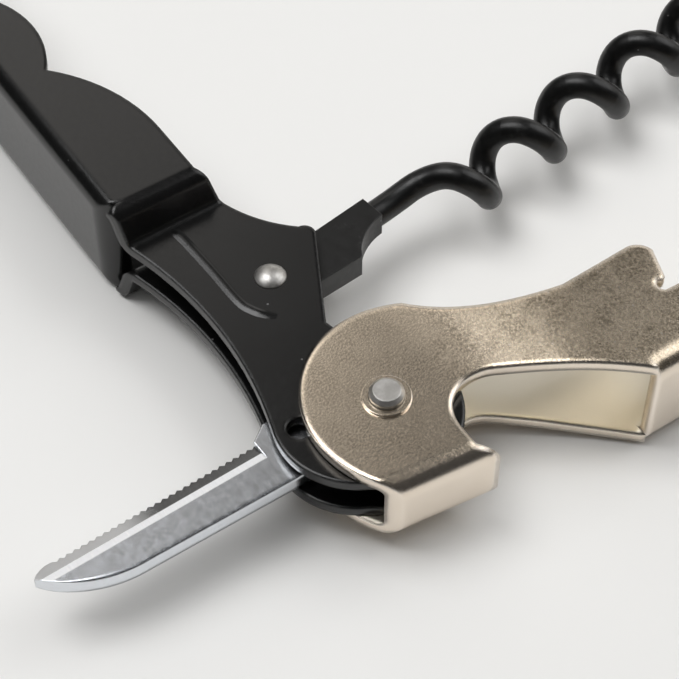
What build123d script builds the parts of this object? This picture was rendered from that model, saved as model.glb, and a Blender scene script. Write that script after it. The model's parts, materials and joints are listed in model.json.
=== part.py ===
"""Double-hinged waiter's corkscrew, lying on its side, opened ready for use.

The frame has its origin on the flat of the handle that rests on the table.
+X runs along the handle towards its head, +Y towards the finger side, +Z up.
All plan outlines are written about the lever pivot, at the handle's mid-plane.
"""
from build123d import *
import os
from math import atan2, cos, degrees, pi, radians, sin

# Handle: one folded sheet, wide at the grip and set in to a narrow neck
SHEET = 1.2                      # thickness of the handle's steel sheet
GRIP_WIDTH = 14.0                # over both cheeks of the grip
NECK_GAP = 3.2                   # between the two neck cheeks
SPINE = -11.8                    # outer face of the spine wall
GRIP_END = -101.0                # far end of the handle
SPINE_START = -35.0              # where the spine wall begins, behind the neck
SPINE_LIP = 2.6                  # outer radius of the spine's end, where it turns inwards
GRIP_BEND = 1.8                  # outer bend radius of the spine
STEP_FOOT = -32.9                # foot of the slope from grip to neck, at mid-sheet
STEP_RUN = 1.4                   # length of that slope
STEP_BEND = 1.3                  # its bend radius, at mid-sheet
GRIP_EDGE = -0.7                 # finger edge of the grip beside the neck
FLAT_END = -42.0                 # where the finger edge starts to fall
NOTCH = (-56.7, -6.5)            # first finger notch
LOBE_PITCH = 14.3                # from one finger notch to the next
LOBE_RISE = 2.2                  # height of a finger lobe over its notches
LOBES = 2                        # whole lobes, before the rounded end
NECK_RISE = 1.7                  # finger edge of the neck's root over the grip's
NECK_WAIST = (-18.5, -8.55)      # shallowest place of the neck's back edge
NECK_SADDLE = (-12.2, 1.0)       # foot of the slant between nib and head
NIB = (-24.0, 6.95)              # finger nib above the worm's rivet
HEAD_HEEL = (-4.0, -10.9)        # where the neck's back edge runs into the head
HEAD_CHIN = (1.2, -11.1)
HEAD_LOW = (6.6, -6.7)
HEAD_FRONT = (8.5, -1.0)
HEAD_HIGH = (6.2, 5.0)
HEAD_CROWN = (0.5, 7.7)
HEAD_NAPE = (-6.0, 5.4)
STOP_HOLE = (-2.55, -8.6)        # punched hole in the neck's back corner
STOP_HOLE_DIAMETER = 2.6

# Lever, first arm: folded sheet that straddles the neck
LEVER_SHEET = 1.25
NECK_CLEARANCE = 0.2             # between a neck cheek and a lever cheek
NOSE_CENTRE = (0.75, 2.5)
NOSE_RADIUS = 11.2
FLARE_START = 8.5                # where the cheeks begin to spread
FLARE_END = 20.0
HINGE_WIDTH = 12.6               # over both cheeks at the second hinge
FLARE_BEND = 38.0
LEVER_BEND = 2.0                 # outer bend radius of tab and back wall
TAB_FACE = 10.4                  # from the lever pivot to the tab's outer face
TAB_TILT = -7.0                  # turn of the tab about the lever pivot, degrees
TAB_FROM = -3.65                 # lower end of the tab's outer face
TAB_REACH = 9.0                  # half length of the tab before it is trimmed
MOUTH_CENTRE = (7.0, 8.4)        # round recess of the cap opener
MOUTH_RADIUS = 4.4
LIP = 2.4                        # straight part of the mouth's lower edge
LIP_RISE = 1.9                   # height of the slant from that edge to the tab's face
WALL_FROM = 24.1                 # back wall of the first arm
WALL_TO = 33.0
WALL_CORNER = 0.7                # how far the window's corner dips below the wall
UPPER_EDGE = (-0.5, 22.2)        # end of the hollow between nose and claw
UPPER_HOLLOW = (-4.6, 12.8)
CLAW_LEFT = -0.75
CLAW_FRONT = 32.7                # first step for the bottle's lip
STEP_FLOOR = 5.95
COLLAR = 0.3                     # raised rim round the lever pivot's hole
COLLAR_WIDTH = 0.7

# Lever, second arm: nests between the first arm's ears
HINGE = (10.05, 38.8)            # second hinge, about the lever pivot
EAR_RADIUS = 3.6
ARM_CLEARANCE = 0.3              # between an ear and the second arm's cheek
ARM_SHEET = 1.2
ARM_LENGTH = 32.0                # from the second hinge to the outer prong
ARM_WALL_START = 4.6             # from the second hinge to the arm's back wall

# Worm: forged flat eye and a round wire wound to the right
WORM_PIVOT = (-20.6, -0.4)
WORM_TURN = 8.2                  # degrees past square to the handle, as opened
WORM_PLATE = 3.06                # thickness of the flat eye
EYE_RADIUS = 3.0
PLATE_LEFT = -2.4
PLATE_RIGHT = 3.6
PLATE_END = 9.8
WIRE = 3.0                       # diameter of the wire
COIL_DIAMETER = 8.2              # over the coil
COIL_PITCH = 10.4
COIL_TURNS = 4.5
COIL_START = 21.7                # from the worm pivot to the first turn of the coil
WIRE_STRAIGHT = 16.5             # from the worm pivot to the straight wire's end
LEAD_IN = 0.16                   # share of a turn that bends wire into coil
POINT_LENGTH = 3.4

# Foil knife, on the lever pivot between the neck cheeks
BLADE = 1.8                      # thickness
BLADE_BACK = 1.15                # back edge, from the pivot line
BLADE_EDGE = -4.8                # serrated edge at its root, from the pivot line
EDGE_TAPER = 0.65                # how far the edge closes in towards the tip
BLADE_ROOT = -12.6
BLADE_TIP = -38.2
TEETH = 28
TOOTH_DEPTH = 0.35
BEVEL = 1.45                     # width of the ground strip along the teeth
SHOULDER = 0.8                   # width of the shallower strip between it and the flat
SHOULDER_DROP = 0.12
EDGE_THICKNESS = 0.55
TANG_RADIUS = 6.0
WASHER_DIAMETER = 8.0

# Rivets and fits
LEVER_RIVET = 3.6                # diameter
LEVER_RIVET_PROUD = 1.2          # above the lever's cheek
RIVET_CHAMFER = 0.4
WORM_RIVET = 2.6
WORM_RIVET_HEAD = 3.5
ARM_RIVET = 3.0
ARM_RIVET_HEAD = 4.4
HEAD_HEIGHT = 0.8                # dome of the worm's rivet
ARM_HEAD_HEIGHT = 0.6            # dome of the second hinge's rivet
RUNNING_FIT = 0.05               # radial clearance of a pivot
SIDE_PLAY = 0.02                 # beside a washer

# Place of the lever pivot in the part's frame
LEVER_PIVOT = (62.0, 7.5)

# Sizes that follow from the ones above
neck_outer = NECK_GAP / 2 + SHEET
nose_inner = neck_outer + NECK_CLEARANCE
nose_outer = nose_inner + LEVER_SHEET
hinge_outer = HINGE_WIDTH / 2
arm_outer = hinge_outer - LEVER_SHEET - ARM_CLEARANCE
coil_radius = (COIL_DIAMETER - WIRE) / 2
wire_line = PLATE_LEFT + WIRE / 2 + 0.05
REACH = 200.0                    # longer than anything here, for cutting prisms


def prism(face, half_height=REACH):
    """A plan outline as a tall block through the mid-plane."""
    return extrude(face, amount=half_height, both=True)


def closed(*edges):
    """A face inside a chain of edges."""
    return make_face(Wire([edge for piece in edges for edge in piece.edges()]))


def drill(points, diameter):
    """Round cutters along Z at plan points."""
    return [Pos(x, y, 0) * Cylinder(diameter / 2, REACH) for x, y in points]


def channel_section(plane, back, depth, half_width, sheet, bend):
    """A U of sheet in a plane whose local x runs away from the back wall's outer face."""
    outer = Pos(back + depth / 2, 0) * Rectangle(abs(depth), 2 * half_width)
    corners = [v for v in outer.vertices() if abs(v.X - back) < 1e-6]
    outer = fillet(corners, bend)
    inner_back = back + (sheet if depth > 0 else -sheet)
    inner = Pos(inner_back + depth / 2, 0) * Rectangle(abs(depth), 2 * (half_width - sheet))
    corners = [v for v in inner.vertices() if abs(v.X - inner_back) < 1e-6]
    inner = fillet(corners, bend - sheet)
    return plane * (outer - inner), plane * outer


def both_cheeks(upper):
    """An upper cheek and its mirror below the mid-plane."""
    return [upper, mirror(upper, about=Plane.XY)]


def grip_edge_points():
    """Finger notches of the grip, from the neck to the far end."""
    return [(NOTCH[0] - i * LOBE_PITCH, NOTCH[1]) for i in range(LOBES + 1)]


def radius_drop(length, drop, part_way):
    """How far an arc that starts level and falls by a drop has fallen part of the way."""
    radius = (length ** 2 + drop ** 2) / (2 * drop)
    return radius - (radius ** 2 - part_way ** 2) ** 0.5


def handle_outline():
    """Plan of the handle's cheeks: neck head, neck, stepped shoulder and lobed grip."""
    step_top = (STEP_FOOT - STEP_RUN - SHEET / 2, GRIP_EDGE)
    neck_top = (STEP_FOOT + SHEET / 2, GRIP_EDGE + NECK_RISE)
    spine_corner = (SPINE_START, SPINE + SHEET / 4)
    nib_front = (NIB[0] + 1.1, NIB[1] - 0.1)
    nib_back = (NIB[0] - 0.75, NIB[1] - 1.05)
    root = ((nib_back[0] + neck_top[0]) / 2, (nib_back[1] + neck_top[1]) / 2 - 0.75)
    nape = ((HEAD_NAPE[0] + NECK_SADDLE[0]) / 2, (HEAD_NAPE[1] + NECK_SADDLE[1]) / 2 - 1.0)
    fall = NOTCH[0] - FLAT_END
    part_way = 0.6 * fall
    part_drop = radius_drop(fall, GRIP_EDGE - NOTCH[1], part_way)
    notches = grip_edge_points()
    edges = [
        ThreePointArc(spine_corner, NECK_WAIST, HEAD_HEEL),
        ThreePointArc(HEAD_HEEL, HEAD_CHIN, HEAD_LOW),
        ThreePointArc(HEAD_LOW, HEAD_FRONT, HEAD_HIGH),
        ThreePointArc(HEAD_HIGH, HEAD_CROWN, HEAD_NAPE),
        ThreePointArc(HEAD_NAPE, nape, NECK_SADDLE),
        Line(NECK_SADDLE, nib_front),
        ThreePointArc(nib_front, NIB, nib_back),
        ThreePointArc(nib_back, root, neck_top),
        Line(neck_top, step_top),
        Line(step_top, (FLAT_END, GRIP_EDGE)),
        ThreePointArc((FLAT_END, GRIP_EDGE), (FLAT_END + part_way, GRIP_EDGE - part_drop), NOTCH),
    ]
    for near, far in zip(notches, notches[1:]):
        peak = ((near[0] + far[0]) / 2, NOTCH[1] + LOBE_RISE)
        edges.append(ThreePointArc(near, peak, far))
    last = notches[-1]
    corner = (GRIP_END, SPINE + GRIP_BEND + 0.6)
    crown = ((last[0] + GRIP_END) / 2, NOTCH[1] + LOBE_RISE * 0.85)
    edges += [
        ThreePointArc(last, crown, corner),
        Line(corner, (GRIP_END, SPINE)),
        Line((GRIP_END, SPINE), (SPINE_START, SPINE)),
        Line((SPINE_START, SPINE), spine_corner),
    ]
    return closed(*edges)


def spine_lip():
    """Plan of the spine's end, turned in by a quarter circle, and of the corner left outside it."""
    x0, y0 = SPINE_START - SPINE_LIP, SPINE + SPINE_LIP
    inner = SPINE_LIP - SHEET
    half = cos(radians(45))
    outer_arc = ThreePointArc((x0, SPINE), (x0 + SPINE_LIP * half, y0 - SPINE_LIP * half), (SPINE_START, y0))
    inner_arc = ThreePointArc((x0, SPINE + SHEET), (x0 + inner * half, y0 - inner * half), (x0 + inner, y0))
    lip = closed(
        outer_arc, Line((SPINE_START, y0), (x0 + inner, y0)),
        inner_arc, Line((x0, SPINE + SHEET), (x0, SPINE)))
    beyond = closed(
        outer_arc, Line((SPINE_START, y0), (SPINE_START, SPINE - SHEET)),
        Line((SPINE_START, SPINE - SHEET), (x0, SPINE - SHEET)), Line((x0, SPINE - SHEET), (x0, SPINE)))
    return lip, beyond


def handle_frame():
    """The folded handle: grip channel, stepped shoulders and two neck cheeks."""
    outline = prism(handle_outline())
    grip_mid = GRIP_WIDTH / 2 - SHEET / 2
    neck_mid = neck_outer - SHEET / 2
    bend_line = FilletPolyline(
        (SPINE_START - 6, grip_mid), (STEP_FOOT - STEP_RUN, grip_mid),
        (STEP_FOOT, neck_mid), (REACH, neck_mid),
        radius=STEP_BEND,
    )
    channel, envelope = channel_section(
        Plane.YZ, SPINE, 30, GRIP_WIDTH / 2, SHEET, GRIP_BEND)
    lip, beyond_lip = spine_lip()
    grip_length = SPINE_START - SPINE_LIP - GRIP_END
    grip = Pos(GRIP_END, 0, 0) * extrude(channel, amount=grip_length)
    rounded = Pos(GRIP_END, 0, 0) * extrude(envelope, amount=REACH)
    sheet = extrude(Plane.XZ * trace(bend_line, SHEET), amount=REACH, both=True)
    neck = (sheet & rounded) & outline
    frame = (grip & outline) + both_cheeks(neck) + (prism(lip) & rounded) - prism(beyond_lip)
    holes = drill([(0, 0)], LEVER_RIVET) + drill([WORM_PIVOT], WORM_RIVET)
    return frame - holes - drill([STOP_HOLE], STOP_HOLE_DIAMETER)


def nose_point(angle):
    """A point on the lever's round nose."""
    x = NOSE_CENTRE[0] + NOSE_RADIUS * cos(radians(angle))
    y = NOSE_CENTRE[1] + NOSE_RADIUS * sin(radians(angle))
    return (x, y)


def tab_corner():
    """Lower end of the tab's outer face."""
    tilt = radians(TAB_TILT)
    x = TAB_FACE * cos(tilt) - TAB_FROM * sin(tilt)
    y = TAB_FACE * sin(tilt) + TAB_FROM * cos(tilt)
    return (x, y)


def first_arm_outline():
    """Plan of the first arm's cheeks, before the opener's mouth is cut."""
    hx, hy = HINGE
    back = hx + EAR_RADIUS
    chin = nose_point(-85)
    corner = tab_corner()
    claw_left = (CLAW_LEFT, CLAW_FRONT - 2.3)
    claw_tip = (CLAW_LEFT + 1.8, CLAW_FRONT)
    hook = (STEP_FLOOR - 1.6, CLAW_FRONT - 1.2)
    hook_end = (STEP_FLOOR - 1.5, CLAW_FRONT - 2.1)
    floor = (STEP_FLOOR, CLAW_FRONT - 2.3)
    edges = [
        TangentArc(chin, corner, tangent=(sin(radians(85)), cos(radians(85)))),
        ThreePointArc(chin, nose_point(-170), nose_point(150)),
        ThreePointArc(nose_point(150), UPPER_HOLLOW, UPPER_EDGE),
        Line(UPPER_EDGE, claw_left),
        ThreePointArc(claw_left, (CLAW_LEFT + 0.35, CLAW_FRONT - 0.9), claw_tip),
        Line(claw_tip, hook),
        ThreePointArc(hook, (STEP_FLOOR - 1.2, CLAW_FRONT - 1.7), hook_end),
        ThreePointArc(hook_end, (STEP_FLOOR - 0.8, CLAW_FRONT - 2.7), floor),
        Line(floor, (hx - EAR_RADIUS, hy)),
        ThreePointArc((hx - EAR_RADIUS, hy), (hx, hy + EAR_RADIUS), (back, hy)),
        Line((back, hy), (back, corner[1])),
        Line((back, corner[1]), corner),
    ]
    return closed(*edges)


def opener_mouth():
    """Plan of the cap opener's mouth, from its round recess to the back wall."""
    cx, cy = MOUTH_CENTRE
    back = HINGE[0] + EAR_RADIUS
    far = back + 9
    lip = cy - MOUTH_RADIUS
    lip_end = (cx + LIP, lip)
    lip_top = (lip_end[0] + LIP_RISE, lip + LIP_RISE)
    wall_corner = (back - 0.3, WALL_FROM - WALL_CORNER)
    side = (cx - MOUTH_RADIUS * sin(radians(57)), cy + MOUTH_RADIUS * cos(radians(57)))
    crest = (side[0] + 0.57 * (wall_corner[0] - side[0]), side[1] + 0.62 * (wall_corner[1] - side[1]))
    slope = closed(
        ThreePointArc(side, crest, wall_corner),
        Line(wall_corner, (far, wall_corner[1])), Line((far, wall_corner[1]), (far, lip_top[1])),
        Line((far, lip_top[1]), lip_top), Line(lip_top, lip_end),
        Line(lip_end, (cx, lip)), Line((cx, lip), side),
    )
    return slope + Pos(cx, cy) * Circle(MOUTH_RADIUS)


def lever_first_arm():
    """First arm: two cheeks joined by the opener's tab and a back wall."""
    nose_mid = nose_inner + LEVER_SHEET / 2
    hinge_mid = hinge_outer - LEVER_SHEET / 2
    cheek_line = FilletPolyline(
        (-30, nose_mid), (FLARE_START, nose_mid), (FLARE_END, hinge_mid), (60, hinge_mid),
        radius=FLARE_BEND,
    )
    sheet = extrude(Plane.YZ * trace(cheek_line, LEVER_SHEET), amount=REACH, both=True)
    back = HINGE[0] + EAR_RADIUS
    wall_low = WALL_FROM - WALL_CORNER
    tab_zone = Pos(TAB_FACE - LEVER_BEND + 10, 0, 0) * Box(20, 2 * TAB_REACH, REACH)
    wall_zone = Pos(back - LEVER_BEND + 10, (wall_low + WALL_TO) / 2, 0) * Box(20, WALL_TO - wall_low, REACH)
    outline = prism(first_arm_outline())
    mouth = prism(opener_mouth())
    upper = (sheet & outline) - mouth - Rot(0, 0, TAB_TILT) * tab_zone - wall_zone
    upper = upper & Pos(0, 0, REACH / 2) * Box(REACH, REACH, REACH)

    tab_section, _ = channel_section(
        Plane.XZ, TAB_FACE, -4, nose_outer, LEVER_SHEET, LEVER_BEND)
    tab = Pos(0, TAB_REACH, 0) * extrude(tab_section, amount=2 * TAB_REACH)
    tab = (Rot(0, 0, TAB_TILT) * tab & outline) - mouth
    wall_section, _ = channel_section(
        Plane.XZ, back, -4, hinge_outer, LEVER_SHEET, LEVER_BEND)
    wall = Pos(0, WALL_TO, 0) * extrude(wall_section, amount=WALL_TO - wall_low) - mouth

    rim_radius = LEVER_RIVET / 2 + COLLAR_WIDTH
    rim = Pos(0, 0, nose_outer + COLLAR / 2) * Cylinder(rim_radius, COLLAR)
    arm = both_cheeks(upper + rim)
    arm = arm[0] + arm[1] + tab + wall
    holes = drill([(0, 0)], LEVER_RIVET + 2 * RUNNING_FIT) + drill([HINGE], ARM_RIVET)
    return arm - holes


def second_arm_outline():
    """Plan of the second arm's cheeks, with the second step at its end."""
    hx, hy = HINGE
    root = EAR_RADIUS - 0.2
    end = hy + ARM_LENGTH
    left = hx - root
    back = hx + root
    edges = [
        ThreePointArc((back, hy), (hx, hy - root), (left, hy)),
        Line((left, hy), (left, end - 14)),
        ThreePointArc((left, end - 14), (left - 0.9, end - 8), (left - 2.6, end - 4.4)),
        ThreePointArc((left - 2.6, end - 4.4), (left - 2.4, end - 3.0), (left - 1.2, end - 2.6)),
        ThreePointArc((left - 1.2, end - 2.6), (left + 2.6, end - 4.2), (back - 3.2, end - 0.8)),
        ThreePointArc((back - 3.2, end - 0.8), (back - 1.9, end), (back - 0.6, end - 0.9)),
        ThreePointArc((back - 0.6, end - 0.9), (back - 0.1, end - 3), (back, end - 6)),
        Line((back, end - 6), (back, hy)),
    ]
    return closed(*edges)


def lever_second_arm():
    """Second arm: two cheeks and a back wall, folded from one sheet."""
    hx, hy = HINGE
    back = hx + EAR_RADIUS - 0.2
    wall_from = hy + ARM_WALL_START
    wall_to = hy + ARM_LENGTH - 5
    cheek = Pos(0, 0, arm_outer - ARM_SHEET) * extrude(second_arm_outline(), amount=ARM_SHEET)
    bend = LEVER_BEND
    wall_zone = Pos(back - bend + 10, (wall_from + wall_to) / 2, 0) * Box(20, wall_to - wall_from, REACH)
    section, _ = channel_section(Plane.XZ, back, -4, arm_outer, ARM_SHEET, bend)
    wall = Pos(0, wall_to, 0) * extrude(section, amount=wall_to - wall_from)
    cheeks = both_cheeks(cheek - wall_zone)
    arm = cheeks[0] + cheeks[1] + wall
    return arm - drill([HINGE], ARM_RIVET + 2 * RUNNING_FIT)


def coil_point(turn):
    """Centre of the wire and its direction after so many turns of the coil."""
    angle = 2 * pi * turn
    centre = Vector(coil_radius - coil_radius * cos(angle),
                    COIL_START + COIL_PITCH * turn, coil_radius * sin(angle))
    along = Vector(coil_radius * 2 * pi * sin(angle), COIL_PITCH, coil_radius * 2 * pi * cos(angle))
    return centre, along.normalized()


def biarc(start, start_along, end, end_along):
    """Two tangent arcs from one point and direction to another."""
    chord = end - start
    sum_along = start_along + end_along
    a = 2 * (1 - start_along.dot(end_along))
    b = 2 * chord.dot(sum_along)
    c = -chord.dot(chord)
    reach = (-b + (b * b - 4 * a * c) ** 0.5) / (2 * a) if a > 1e-9 else -c / b
    joint = (start + start_along * reach + end - end_along * reach) * 0.5
    first = TangentArc(start, joint, tangent=start_along)
    second = TangentArc(joint, end, tangent=first % 1)
    return [first, second]


def worm_path():
    """Straight wire out of the flat eye, then the coil in quarter turns of tangent arcs."""
    stations = [LEAD_IN + 0.25 * i for i in range(int(4 * COIL_TURNS) + 1)]
    begin = Vector(wire_line, PLATE_END - 2, 0)
    lead = Vector(wire_line, WIRE_STRAIGHT, 0)
    edges = [Line(begin, lead)]
    here, along = lead, Vector(0, 1, 0)
    for turn in stations:
        there, there_along = coil_point(turn)
        edges += biarc(here, along, there, there_along)
        here, along = there, there_along
    return Wire(edges), here, along


def print_coil_gap():
    """Least clear distance between one turn of the coil and the next."""
    samples = [coil_point(i / 48)[0] for i in range(int(48 * COIL_TURNS))]
    gap = min((a - b).length for i, a in enumerate(samples) for b in samples[i + 32:])
    print(f"least gap between turns of the worm: {gap - WIRE:.2f} mm")


def worm():
    """The worm, made along its own Y axis and turned to its opened place."""
    plate_top = PLATE_END + 5.6
    narrow = wire_line + WIRE / 2 + 0.05
    outline = closed(
        Line((PLATE_LEFT, 0), (PLATE_LEFT, plate_top)),
        Line((PLATE_LEFT, plate_top), (narrow, plate_top)),
        ThreePointArc((narrow, plate_top), (narrow + 0.6, PLATE_END + 2.8),
                      (PLATE_RIGHT - 0.8, PLATE_END + 0.6)),
        Line((PLATE_RIGHT - 0.8, PLATE_END + 0.6), (PLATE_RIGHT, PLATE_END)),
        Line((PLATE_RIGHT, PLATE_END), (PLATE_RIGHT - 0.4, 3.4)),
        ThreePointArc((PLATE_RIGHT - 0.4, 3.4), (EYE_RADIUS * 0.98, 1.6), (EYE_RADIUS * 0.8, 0)),
        Line((EYE_RADIUS * 0.8, 0), (PLATE_LEFT, 0)),
    )
    eye = Circle(EYE_RADIUS)
    plate = extrude(outline + eye, amount=WORM_PLATE / 2, both=True)
    path, end, along = worm_path()
    wire = sweep(Plane(path @ 0, z_dir=path % 0) * Circle(WIRE / 2), path=path)
    point = Plane(end, z_dir=along) * Pos(0, 0, POINT_LENGTH / 2) * Cone(WIRE / 2, 0.15, POINT_LENGTH)
    body = plate + wire + point
    body -= Cylinder(WORM_RIVET / 2 + RUNNING_FIT, REACH)
    x, y = WORM_PIVOT
    return Pos(x, y, 0) * Rot(0, 0, WORM_TURN) * body


def knife_outline():
    """Plan of the knife: tang round the pivot, shoulder, toothed edge and curved back."""
    pitch = (BLADE_ROOT - BLADE_TIP - 2.4) / TEETH
    closing = EDGE_TAPER / TEETH
    teeth = [(BLADE_EDGE, BLADE_ROOT)]
    for i in range(TEETH):
        x, y = BLADE_EDGE + i * closing, BLADE_ROOT - i * pitch
        teeth += [(x + TOOTH_DEPTH, y - pitch / 2), (x + closing, y - pitch)]
    end = BLADE_EDGE + EDGE_TAPER
    tip = (end + 1.0, BLADE_TIP)
    shoulder = (BLADE_EDGE - 1.4, BLADE_ROOT + 1.9)
    back_start = (BLADE_BACK, BLADE_TIP + 10)
    back_end = (BLADE_BACK, -1.5 * TANG_RADIUS)
    tang_left = (-TANG_RADIUS * 0.9, 0)
    edges = [
        Polyline(*teeth),
        ThreePointArc(teeth[-1], (end + 0.35, BLADE_TIP + 0.7), tip),
        ThreePointArc(tip, (BLADE_BACK - 1.3, BLADE_TIP + 3.9), back_start),
        Line(back_start, back_end),
        Line(back_end, (TANG_RADIUS * 0.5, -TANG_RADIUS * 0.9)),
        Line((TANG_RADIUS * 0.5, -TANG_RADIUS * 0.9), (0, 0)),
        Line((0, 0), tang_left),
        Line(tang_left, shoulder),
        Line(shoulder, teeth[0]),
    ]
    return closed(*edges) + Circle(TANG_RADIUS)


def foil_knife():
    """Folding foil knife with a ground strip along its teeth."""
    blade = extrude(knife_outline(), amount=BLADE / 2, both=True)
    top = BLADE / 2
    wedge = Polyline(
        (BEVEL + SHOULDER, top), (BEVEL, top - SHOULDER_DROP), (0, EDGE_THICKNESS / 2),
        (-4, EDGE_THICKNESS / 2), (-4, top), close=True,
    )
    ground = extrude(Plane.XZ * make_face(wedge), amount=REACH)
    turn = degrees(atan2(EDGE_TAPER, BLADE_ROOT - BLADE_TIP))
    ground = Pos(BLADE_EDGE, BLADE_ROOT, 0) * Rot(0, 0, turn) * ground
    blade -= both_cheeks(ground)
    return blade - drill([(0, 0)], LEVER_RIVET + 2 * RUNNING_FIT)


def knife_washers():
    """Two spacers that fill the neck's gap either side of the knife."""
    thickness = (NECK_GAP - BLADE) / 2 - 2 * SIDE_PLAY
    ring = Cylinder(WASHER_DIAMETER / 2, thickness) - Cylinder(LEVER_RIVET / 2, REACH)
    height = BLADE / 2 + SIDE_PLAY + thickness / 2
    return both_cheeks(Pos(0, 0, height) * ring)


def lever_rivet():
    """Plain pivot pin with chamfered ends that stand proud of the lever."""
    length = 2 * (nose_outer + LEVER_RIVET_PROUD)
    pin = Cylinder(LEVER_RIVET / 2, length)
    return chamfer(pin.edges().filter_by(GeomType.CIRCLE), RIVET_CHAMFER)


def domed_rivet(place, diameter, head, height, half_grip):
    """A rivet with a low domed head on each side of what it holds."""
    dome_radius = ((head / 2) ** 2 + height ** 2) / (2 * height)
    ball = Pos(0, 0, half_grip + height - dome_radius) * Sphere(dome_radius)
    cap = ball & Pos(0, 0, half_grip + height) * Box(head, head, 2 * height)
    shank = Cylinder(diameter / 2, 2 * half_grip)
    caps = both_cheeks(cap)
    return Pos(place[0], place[1], 0) * (shank + caps[0] + caps[1])


def save(name, solids):
    """Write one node, moved from the lever pivot's frame to the part's frame."""
    solids = solids if isinstance(solids, list) else [solids]
    placed = []
    for item in solids:
        moved = Pos(LEVER_PIVOT[0], LEVER_PIVOT[1], GRIP_WIDTH / 2) * item
        placed += list(moved.solids())
    shape = placed[0] if len(placed) == 1 else Compound(children=placed)
    export_step(shape, f"parts/{name}.step")


def main():
    os.makedirs("parts", exist_ok=True)
    save("handle_frame", handle_frame())
    save("worm", worm())
    save("worm_rivet", domed_rivet(WORM_PIVOT, WORM_RIVET, WORM_RIVET_HEAD, HEAD_HEIGHT, neck_outer))
    save("lever_first_arm", lever_first_arm())
    save("lever_rivet", lever_rivet())
    save("lever_second_arm", lever_second_arm())
    save("arm_rivet", domed_rivet(HINGE, ARM_RIVET, ARM_RIVET_HEAD, ARM_HEAD_HEIGHT, hinge_outer))
    save("foil_knife", foil_knife())
    save("knife_washers", knife_washers())
    print_coil_gap()


main()
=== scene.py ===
import json
import math

import bmesh
import bpy
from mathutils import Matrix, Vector


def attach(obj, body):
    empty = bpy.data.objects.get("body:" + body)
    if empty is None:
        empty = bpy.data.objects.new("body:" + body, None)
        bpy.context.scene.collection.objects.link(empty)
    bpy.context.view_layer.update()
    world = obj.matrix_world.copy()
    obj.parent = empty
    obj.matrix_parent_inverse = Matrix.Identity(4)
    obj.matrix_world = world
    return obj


# Looks of the lever corkscrew: finishes of every node, pressed details, table, light and camera.
# Lengths are in metres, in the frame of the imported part: +X along the handle, +Z up from the table.
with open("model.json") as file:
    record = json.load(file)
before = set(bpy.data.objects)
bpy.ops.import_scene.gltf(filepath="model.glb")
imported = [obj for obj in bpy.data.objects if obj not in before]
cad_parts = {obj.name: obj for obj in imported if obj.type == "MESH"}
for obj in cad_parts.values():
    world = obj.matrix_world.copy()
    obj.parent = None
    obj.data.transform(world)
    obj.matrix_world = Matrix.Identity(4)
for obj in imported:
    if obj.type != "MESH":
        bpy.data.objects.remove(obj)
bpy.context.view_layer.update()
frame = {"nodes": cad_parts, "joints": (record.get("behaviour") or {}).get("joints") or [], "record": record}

MM = 0.001
LEVER_PIVOT = next(Vector(j["pos_m"]) for j in frame["joints"] if j["name"] == "lever_fold")

# Photograph: a long lens that looks down at the table, with no roll
IMAGE_PIXELS = 679
FOCAL_PIXELS = 2000
SENSOR = 36.0                            # millimetres, Blender's camera unit
ELEVATION = math.radians(51.5)
TARGET = Vector((50.59, 9.62, 7.0)) * MM
CAMERA_DISTANCE = 207.14 * MM
RIGHT = Vector((0.5607, 0.8280, 0.0))    # the photograph's right, along the table
AWAY = Vector((-0.8280, 0.5607, 0.0))    # the photograph's away, along the table

# Room: a bright window behind, a little to the left, in a dim room with a pale strip low behind
WINDOW_TURN = math.radians(-18)          # from the photograph's away, to the left
WINDOW_RISE = math.radians(40)
WINDOW_CORE = math.radians(6)            # full light within this angle of its middle
WINDOW_EDGE = math.radians(19.5)         # none beyond this one
WINDOW_LIGHT = (1.12, 1.08, 1.03, 1.0)
DIM_WALL = (0.05, 0.05, 0.05, 1.0)
STRIP_SIDE = RIGHT * 0.5 + AWAY * 0.866
STRIP_FADE, STRIP_FULL = 0.55, 0.9       # cosines from the middle of its side
PALE_STRIP = (0.85, 0.83, 0.79, 1.0)
STRIP_CORE = math.radians(14)
STRIP_TOP = math.radians(30)

# Lamps: place from the camera's target (right, away, up), side, and power in watts
KEY = ((-0.22, 0.06, 0.52), 0.32, 1.5)
FILL = ((0.42, 0.22, 0.46), 0.5, 1.4)
CEILING = ((0, 0, 1.0), 1.6, 6.4)

# Table, a little below the handle's underside
TABLE_HALF = 1.6
TABLE_HEIGHT = -0.02 * MM
TABLE_TONES = ((0.80, 0.795, 0.78, 1.0), (0.84, 0.835, 0.82, 1.0))

# Lever: its cheeks' height over the mid-plane at the nose, the collar round its pin, which keeps
# tight edges, and the places along it, from the pin, between which the grain of the plate is strong
CHEEK_HEIGHT = 4.2 * MM
COLLAR_INNER, COLLAR_OUTER = 3.4 * MM, 4.4 * MM
GRAIN_FADE_IN, GRAIN_FULL = 3 * MM, 16 * MM
GRAIN_FADE_OUT, GRAIN_END = 32 * MM, 40 * MM
# Inside faces of the lever's channel are painted bright yellow: a painted golden reflection
INSIDE_GOLDEN_REFLECTION = (0.99, 0.92, 0.78, 1.0)

# Knife: its ridge and back beside the pin, and the end of the dark reflection painted on the root of its
# ground strip
RIDGE_SIDE, BACK_SIDE = -1.6 * MM, 0.2 * MM
DARK_REFLECTION_FULL, DARK_REFLECTION_END = 24 * MM, 29 * MM

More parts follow.
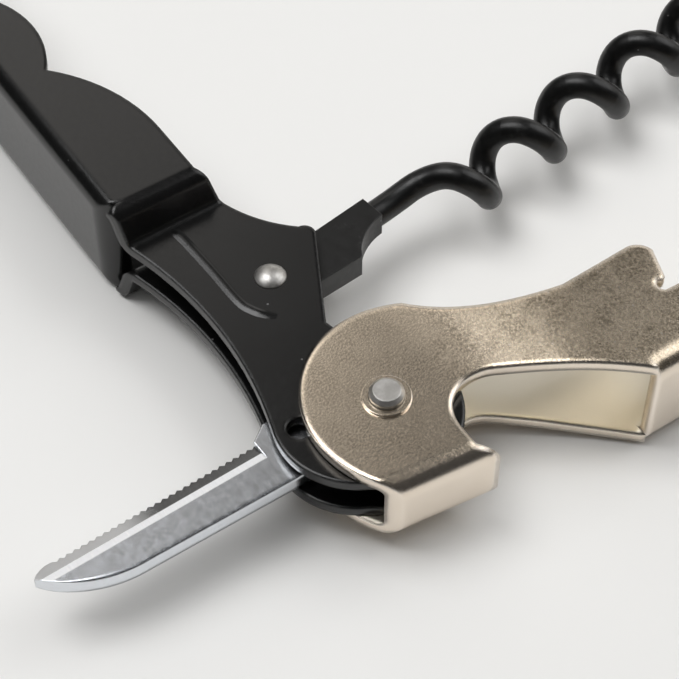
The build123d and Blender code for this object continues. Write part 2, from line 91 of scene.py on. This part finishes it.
# Pressed bead on the neck's cheeks, about the lever pivot, and its section
NECK_HALF_WIDTH = 2.8 * MM
BEAD_LINE = [(-31.8, -5.4), (-29.5, -5.2), (-25.0, -5.0), (-19.6, -4.9), (-17.85, -4.4),
             (-16.6, -3.6), (-15.6, -2.7)]
BEAD_HEIGHT = 0.22 * MM
BEAD_WIDTH = 1.3 * MM
BEAD_SUNK = 0.012 * MM                   # its borders lie this deep in the cheek
BEAD_FADE_IN, BEAD_FADE_OUT = 0.08, 0.25  # shares of its length
BEAD_STEPS, BEAD_ACROSS = 6, 10          # faces between two points of the line, and across it


def table_point(right, away, up):
    """A point set out from the camera's target by the photograph's own directions."""
    return TARGET + RIGHT * right + AWAY * away + Vector((0, 0, up))


class Finish:
    """A material under construction: one principled shader and the nodes that feed it."""

    def __init__(self, name, **sockets):
        self.material = bpy.data.materials.new(name)
        self.material.use_nodes = True
        self.tree = self.material.node_tree
        self.shader = self.tree.nodes["Principled BSDF"]
        for key, value in sockets.items():
            self.shader.inputs[key.replace("_", " ")].default_value = value
        self.place = self.add("TexCoord").outputs["Object"]

    def add(self, kind, sockets=None, **settings):
        """A node with its settings, and its sockets linked or set."""
        node = self.tree.nodes.new("ShaderNode" + kind)
        for key, value in settings.items():
            setattr(node, key, value)
        for key, value in (sockets or {}).items():
            self.feed(node.inputs[key], value)
        return node

    def feed(self, socket, value):
        """Links an output to a socket, or sets a plain value on it."""
        if isinstance(value, bpy.types.NodeSocket):
            self.tree.links.new(value, socket)
        else:
            socket.default_value = value

    def use(self, **sockets):
        """Feeds the shader's own sockets."""
        for key, value in sockets.items():
            self.feed(self.shader.inputs[key.replace("_", " ")], value)
        return self.material

    def math(self, operation, a, b=0.0, clamp=False):
        """One step of arithmetic."""
        node = self.add("Math", {0: a, 1: b}, operation=operation, use_clamp=clamp)
        return node.outputs[0]

    def times(self, a, b):
        return self.math("MULTIPLY", a, b)

    def axes(self, vector):
        """The x, y and z of a vector."""
        return self.add("SeparateXYZ", {0: vector}).outputs

    def length(self, vector):
        return self.add("VectorMath", {0: vector}, operation="LENGTH").outputs["Value"]

    def from_pin(self):
        """Place on the piece, from the lever's pin."""
        sockets = {0: self.place, 1: LEVER_PIVOT}
        return self.add("VectorMath", sockets, operation="SUBTRACT").outputs[0]

    def facing(self):
        """How far a face looks up (1) or down (-1)."""
        return self.axes(self.add("NewGeometry").outputs["Normal"])[2]

    def span(self, value, low, high, to_low=0.0, to_high=1.0):
        """A value's part between two levels, eased and clamped, on a new scale."""
        sockets = {"Value": value, "From Min": low, "From Max": high,
                   "To Min": to_low, "To Max": to_high}
        return self.add("MapRange", sockets, interpolation_type="SMOOTHSTEP").outputs[0]

    def noise(self, size, detail=4.0, rough=0.55):
        """Cloudy noise whose features are about this size."""
        sockets = {"Vector": self.place, "Scale": 1.0 / size, "Detail": detail, "Roughness": rough}
        return self.add("TexNoise", sockets).outputs[0]

    def streaks(self, length, width, turn):
        """Noise drawn out along one direction in the plane of the sheet."""
        scale = (1 / length, 1 / width, 1 / length)
        sockets = {"Vector": self.place, "Rotation": (0, 0, turn), "Scale": scale}
        drawn = self.add("Mapping", sockets).outputs[0]
        return self.add("TexNoise", {"Vector": drawn, "Scale": 1.0, "Detail": 2.0}).outputs[0]

    def specks(self, spacing, size, share):
        """Small dots at random places, on a share of the cells of a lattice."""
        cells = self.add("TexVoronoi", {"Vector": self.place, "Scale": 1.0 / spacing})
        dot = self.span(cells.outputs["Distance"], size / spacing, 0.4 * size / spacing)
        red = self.add("SeparateColor", {"Color": cells.outputs["Color"]}).outputs[0]
        return self.times(dot, self.math("LESS_THAN", red, share))

    def blend(self, share, first, second):
        """One colour over another by a share from 0 to 1."""
        node = self.add("Mix", {0: share, 6: first, 7: second}, data_type="RGBA")
        return node.outputs[2]

    def rounded(self, radius):
        """Normal with the sheet's edges eased, and a mask of where they are."""
        normal = self.add("Bevel", {"Radius": radius}, samples=8).outputs[0]
        flat = self.add("NewGeometry").outputs["Normal"]
        dot = self.add("VectorMath", {0: normal, 1: flat}, operation="DOT_PRODUCT").outputs["Value"]
        return normal, self.span(dot, 0.995, 0.86)

    def bump(self, height, depth, normal, strength):
        """A normal with a fine relief on it."""
        sockets = {"Height": height, "Distance": depth, "Strength": strength, "Normal": normal}
        return self.add("Bump", sockets).outputs[0]


def grey(level, warmth=0.0):
    """A colour near grey: positive warmth leans to yellow."""
    return (level * (1 + warmth), level, level * (1 - 1.6 * warmth), 1.0)


def nickel(level, warmth):
    """A warm grey that leans to rose, as nickel does."""
    red, green, blue, alpha = grey(level, warmth)
    return (red, 0.965 * green, 0.955 * blue, alpha)


def coat_finish():
    """Satin black coat over pressed steel: fine grain, dust, and edges lighter in spots, as wear and as a
    painted highlight.
    """
    f = Finish("black_coat", IOR=1.54)
    normal, edge = f.rounded(0.6 * MM)
    clouds = f.noise(9 * MM, 5)
    grain = f.noise(0.16 * MM, 3, 0.6)
    dust = f.specks(2.6 * MM, 0.16 * MM, 0.22)
    # Edges lighter in spots: wear, and a painted highlight along the sheet's edges.
    wear_and_edge_highlight = f.times(edge, f.span(f.noise(1.5 * MM, 4), 0.42, 0.72))
    colour = f.blend(f.span(clouds, 0.3, 0.75), grey(0.003), grey(0.005))
    colour = f.blend(f.times(wear_and_edge_highlight, 0.35), colour, grey(0.10))
    colour = f.blend(f.times(dust, 0.35), colour, grey(0.35))
    rough = f.span(f.noise(0.5 * MM, 4, 0.6), 0.25, 0.75, 0.2, 0.26)
    rough = f.math("ADD", rough, f.times(dust, 0.2), clamp=True)
    return f.use(Base_Color=colour, Roughness=rough, Normal=f.bump(grain, 0.006 * MM, normal, 0.35))


def worm_finish():
    """Satin black coat on wire, scuffed grey where it was drawn and flattened, with some dust."""
    f = Finish("worm_coat", IOR=1.5)
    normal, edge = f.rounded(0.2 * MM)
    scuff = f.times(f.span(f.noise(2.2 * MM, 6, 0.7), 0.52, 0.78),
                    f.span(f.noise(0.5 * MM, 3), 0.35, 0.7))
    dust = f.specks(1.8 * MM, 0.14 * MM, 0.25)
    colour = f.blend(f.times(scuff, 0.55), grey(0.002), grey(0.05))
    colour = f.blend(f.times(edge, 0.25), colour, grey(0.08))
    colour = f.blend(f.times(dust, 0.4), colour, grey(0.35))
    rough = f.span(f.noise(0.9 * MM, 5, 0.6), 0.25, 0.75, 0.3, 0.42)
    return f.use(Base_Color=colour, Roughness=rough,
                 Normal=f.bump(f.noise(0.3 * MM, 4), 0.015 * MM, normal, 0.4))


def nickel_finish():
    """Satin nickel plate: brown grain on the cheeks, scratches, painted glints, bright edges, and a painted
    golden reflection inside.
    """
    f = Finish("nickel_plate", Metallic=1.0)
    from_pin = f.from_pin()
    flat = f.add("VectorMath", {0: from_pin, 1: (1, 1, 0)}, operation="MULTIPLY").outputs[0]
    easing = f.span(f.length(flat), COLLAR_INNER, COLLAR_OUTER, 0.1 * MM, 0.95 * MM)
    normal, edge = f.rounded(easing)
    _, along, above = f.axes(from_pin)
    inward = f.times(above, f.facing())
    inside = f.span(inward, 0.0, -2 * MM)
    cheek = f.span(inward, 0.7 * CHEEK_HEIGHT, 0.97 * CHEEK_HEIGHT)
    cheek = f.times(cheek, f.math("SUBTRACT", 1.0, edge))
    claw = f.times(f.span(along, GRAIN_FADE_IN, GRAIN_FULL),
                   f.span(along, GRAIN_END, GRAIN_FADE_OUT))
    grained = f.times(cheek, claw)
    tarnish = f.noise(7 * MM, 6, 0.6)
    grain = f.noise(0.25 * MM, 3, 0.65)
    pits = f.times(f.span(grain, 0.4, 0.62), f.span(f.noise(3.2 * MM, 4), 0.4, 0.62, 0.4, 1.0))
    pits = f.times(f.times(pits, cheek), f.span(claw, 0.0, 1.0, 0.4, 1.0))
    # Painted highlights: light specks on the grained cheeks stand in for the lamps' sparkle in the grain.
    painted_glints = f.times(f.specks(0.9 * MM, 0.16 * MM, 0.3), grained)
    scratch = f.math("MAXIMUM", f.span(f.streaks(9 * MM, 0.11 * MM, 0.5), 0.68, 0.73),
                     f.span(f.streaks(6 * MM, 0.09 * MM, -0.8), 0.69, 0.74))
    scratch = f.times(scratch, f.span(f.noise(4 * MM, 3), 0.45, 0.65))
    scratches_and_painted_glints = f.math("MAXIMUM", scratch, painted_glints)
    colour = f.blend(f.span(tarnish, 0.3, 0.7), nickel(0.76, 0.09), nickel(0.80, 0.08))
    colour = f.blend(f.times(cheek, 0.8), colour, nickel(0.88, 0.13))
    colour = f.blend(f.times(grained, 0.7), colour, nickel(0.70, 0.14))
    colour = f.blend(f.times(pits, 0.85), colour, nickel(0.24, 0.18))
    # Scratches, and the painted glints, lighter.
    colour = f.blend(f.times(scratches_and_painted_glints, 0.6), colour, nickel(0.92, 0.05))
    colour = f.blend(f.times(edge, 0.8), colour, nickel(0.86, 0.06))
    # Painted reflection: the inside faces are painted bright yellow for the golden reflection inside the
    # channel.
    colour = f.blend(inside, colour, INSIDE_GOLDEN_REFLECTION)
    rough = f.span(f.noise(0.4 * MM, 4, 0.6), 0.25, 0.75, 0.19, 0.25)
    rough = f.math("ADD", rough, f.times(inside, 0.2))
    rough = f.math("ADD", rough, f.times(grained, 0.05))
    rough = f.math("SUBTRACT", rough, f.times(edge, 0.1), clamp=True)
    return f.use(Base_Color=colour, Roughness=rough, Normal=f.bump(grain, 0.012 * MM, normal, 0.8))


def blade_finish():
    """Polished blade steel: hairlines, fine nicks, and a dark reflection painted on its ground strip's root.
    """
    f = Finish("blade_steel", Metallic=1.0)
    from_pin = f.from_pin()
    aside = f.axes(from_pin)[0]
    normal, _ = f.rounded(f.span(aside, RIDGE_SIDE, BACK_SIDE, 0.2 * MM, 0.7 * MM))
    hair = f.streaks(3.5 * MM, 0.05 * MM, 0.35)
    cross = f.span(f.streaks(1.6 * MM, 0.07 * MM, 1.25), 0.62, 0.7)
    marks = f.noise(0.7 * MM, 4, 0.7)
    facing = f.math("ABSOLUTE", f.facing())
    ground = f.times(f.span(facing, 0.985, 0.96), f.span(facing, 0.6, 0.8))
    # Painted reflection: the root of the ground strip is painted dark grey, standing in for a dark
    # reflection.
    painted_root_reflection = f.times(ground, f.span(f.length(from_pin), DARK_REFLECTION_END, DARK_REFLECTION_FULL))
    tip = f.math("SUBTRACT", ground, painted_root_reflection)
    colour = f.blend(f.span(marks, 0.35, 0.7), grey(0.78, -0.03), grey(0.82, -0.035))
    colour = f.blend(f.times(cross, 0.5), colour, grey(0.95))
    # The painted dark reflection on the ground strip's root.
    colour = f.blend(f.times(painted_root_reflection, 0.85), colour, grey(0.30))
    colour = f.blend(f.times(tip, 0.8), colour, grey(0.95))
    rough = f.math("ADD", f.span(marks, 0.3, 0.75, 0.17, 0.22), f.span(hair, 0.3, 0.7, 0.0, 0.06))
    rough = f.math("ADD", rough, f.times(tip, 0.22))
    return f.use(Base_Color=colour, Roughness=rough, Normal=f.bump(hair, 0.002 * MM, normal, 0.4))


def rivet_finish():
    """Bright steel pins, lightly hammered by the rivet set."""
    f = Finish("rivet_steel", Metallic=1.0)
    normal, _ = f.rounded(0.18 * MM)
    dents = f.noise(0.8 * MM, 3)
    colour = f.blend(f.span(f.noise(1.1 * MM, 5), 0.35, 0.7), grey(0.48, 0.03), grey(0.64, 0.02))
    rough = f.span(f.noise(0.35 * MM, 4), 0.25, 0.75, 0.4, 0.5)
    return f.use(Base_Color=colour, Roughness=rough, Normal=f.bump(dents, 0.05 * MM, normal, 0.5))


def dress_nodes():
    """Gives each node the finish of its material slot in the record."""
    finishes = {
        "black_coat": coat_finish(), "worm_coat": worm_finish(), "nickel_plate": nickel_finish(),
        "blade_steel": blade_finish(), "rivet_steel": rivet_finish(),
    }
    for part in frame["record"]["subparts"]:
        node = frame["nodes"][part["node"]]
        node.data.materials.clear()
        node.data.materials.append(finishes[part["material_slot"]])
    return finishes


def smooth_line(points, steps):
    """A Catmull-Rom line through plan points."""
    line = []
    padded = [points[0]] + points + [points[-1]]
    for i in range(len(points) - 1):
        p0, p1, p2, p3 = (Vector(p) for p in padded[i:i + 4])
        for s in range(steps):
            t = s / steps
            line.append(0.5 * (2 * p1 + (p2 - p0) * t + (2 * p0 - 5 * p1 + 4 * p2 - p3) * t * t
                               + (3 * p1 - p0 - 3 * p2 + p3) * t ** 3))
    line.append(Vector(points[-1]))
    return line


def pressed_bead(name, side, material):
    """Low bead pressed out of a neck cheek; side is +1 for the upper cheek and -1 for the lower."""
    line = [p * MM for p in smooth_line(BEAD_LINE, BEAD_STEPS)]
    mesh = bmesh.new()
    rows = []
    for i, point in enumerate(line):
        ahead = line[min(i + 1, len(line) - 1)] - line[max(i - 1, 0)]
        normal = Vector((-ahead.y, ahead.x)).normalized()
        share = i / (len(line) - 1)
        fade = min(1.0, share / BEAD_FADE_IN) * min(1.0, (1 - share) / BEAD_FADE_OUT)
        row = []
        for k in range(BEAD_ACROSS + 1):
            t = 2 * k / BEAD_ACROSS - 1
            rise = BEAD_HEIGHT * fade * (0.5 + 0.5 * math.cos(math.pi * t)) - BEAD_SUNK
            xy = point + normal * (BEAD_WIDTH / 2 * t)
            place = LEVER_PIVOT + Vector((xy.x, xy.y, side * (NECK_HALF_WIDTH + rise)))
            row.append(mesh.verts.new(place))
        rows.append(row)
    for near, far in zip(rows, rows[1:]):
        for k in range(BEAD_ACROSS):
            mesh.faces.new((near[k], far[k], far[k + 1], near[k + 1]))
    bmesh.ops.recalc_face_normals(mesh, faces=mesh.faces)
    data = bpy.data.meshes.new(name)
    mesh.to_mesh(data)
    mesh.free()
    data.polygons.foreach_set("use_smooth", [True] * len(data.polygons))
    data.materials.append(material)
    piece = bpy.data.objects.new(name, data)
    bpy.context.scene.collection.objects.link(piece)
    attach(piece, "handle")


def table_top():
    """Plain off-white table under the part."""
    data = bpy.data.meshes.new("table")
    signs = [(-1, -1), (1, -1), (1, 1), (-1, 1)]
    corners = [(x * TABLE_HALF, y * TABLE_HALF, TABLE_HEIGHT) for x, y in signs]
    data.from_pydata(corners, [], [(0, 1, 2, 3)])
    f = Finish("table", Roughness=0.6, IOR=1.35)
    data.materials.append(f.use(Base_Color=f.blend(f.noise(90 * MM, 2), *TABLE_TONES)))
    table = bpy.data.objects.new("table", data)
    bpy.context.scene.collection.objects.link(table)


def lamp(name, layout, reflected=True):
    """A square lamp aimed at the camera's target; unreflected, it lights matt surfaces only."""
    offset, size, watts = layout
    place = table_point(*offset)
    data = bpy.data.lights.new(name, "AREA")
    data.size = size
    data.energy = watts
    light = bpy.data.objects.new(name, data)
    light.location = place
    light.rotation_euler = (TARGET - place).to_track_quat("-Z", "Y").to_euler()
    light.visible_glossy = reflected
    bpy.context.scene.collection.objects.link(light)


def room():
    """A dim room with one bright window, and a pale strip low on the far side."""
    world = bpy.data.worlds.new("room")
    world.use_nodes = True
    tree = world.node_tree
    aim = tree.nodes.new("ShaderNodeTexCoord").outputs["Generated"]

    def towards(direction, low, high):
        """Rises from 0 to 1 between two cosines of the angle to a direction."""
        dot = tree.nodes.new("ShaderNodeVectorMath")
        dot.operation = "DOT_PRODUCT"
        dot.inputs[1].default_value = direction
        rise = tree.nodes.new("ShaderNodeMapRange")
        rise.interpolation_type = "SMOOTHSTEP"
        rise.inputs["From Min"].default_value = low
        rise.inputs["From Max"].default_value = high
        tree.links.new(aim, dot.inputs[0])
        tree.links.new(dot.outputs["Value"], rise.inputs["Value"])
        return rise.outputs[0]

    def over(share, below, colour):
        """One light over another by a share."""
        mix = tree.nodes.new("ShaderNodeMix")
        mix.data_type = "RGBA"
        tree.links.new(share, mix.inputs[0])
        if isinstance(below, bpy.types.NodeSocket):
            tree.links.new(below, mix.inputs[6])
        else:
            mix.inputs[6].default_value = below
        mix.inputs[7].default_value = colour
        return mix.outputs[2]

    low = tree.nodes.new("ShaderNodeMath")
    low.operation = "MULTIPLY"
    tree.links.new(towards((0, 0, 1), math.sin(STRIP_TOP), math.sin(STRIP_CORE)), low.inputs[0])
    tree.links.new(towards(STRIP_SIDE, STRIP_FADE, STRIP_FULL), low.inputs[1])
    walls = over(low.outputs[0], DIM_WALL, PALE_STRIP)
    level = RIGHT * math.sin(WINDOW_TURN) + AWAY * math.cos(WINDOW_TURN)
    middle = level * math.cos(WINDOW_RISE) + Vector((0, 0, math.sin(WINDOW_RISE)))
    window = towards(middle, math.cos(WINDOW_EDGE), math.cos(WINDOW_CORE))
    tree.links.new(over(window, walls, WINDOW_LIGHT), tree.nodes["Background"].inputs["Color"])
    bpy.context.scene.world = world


def studio():
    """Soft light from above, a little to the left, and a wide ceiling that lightens the shade."""
    lamp("key", KEY)
    lamp("fill", FILL)
    lamp("ceiling", CEILING, reflected=False)
    room()
    bpy.context.scene.view_settings.view_transform = "Standard"


def photo_camera():
    """The photograph's own view."""
    data = bpy.data.cameras.new("photo")
    data.sensor_width = SENSOR
    data.lens = SENSOR * FOCAL_PIXELS / IMAGE_PIXELS
    data.clip_start = 0.005
    camera = bpy.data.objects.new("photo", data)
    level = CAMERA_DISTANCE * math.cos(ELEVATION)
    camera.location = table_point(0, -level, CAMERA_DISTANCE * math.sin(ELEVATION))
    camera.rotation_euler = (TARGET - camera.location).to_track_quat("-Z", "Y").to_euler()
    bpy.context.scene.collection.objects.link(camera)
    bpy.context.scene.camera = camera


finishes = dress_nodes()
pressed_bead("neck_bead_upper", 1, finishes["black_coat"])
pressed_bead("neck_bead_lower", -1, finishes["black_coat"])
table_top()
studio()
photo_camera()
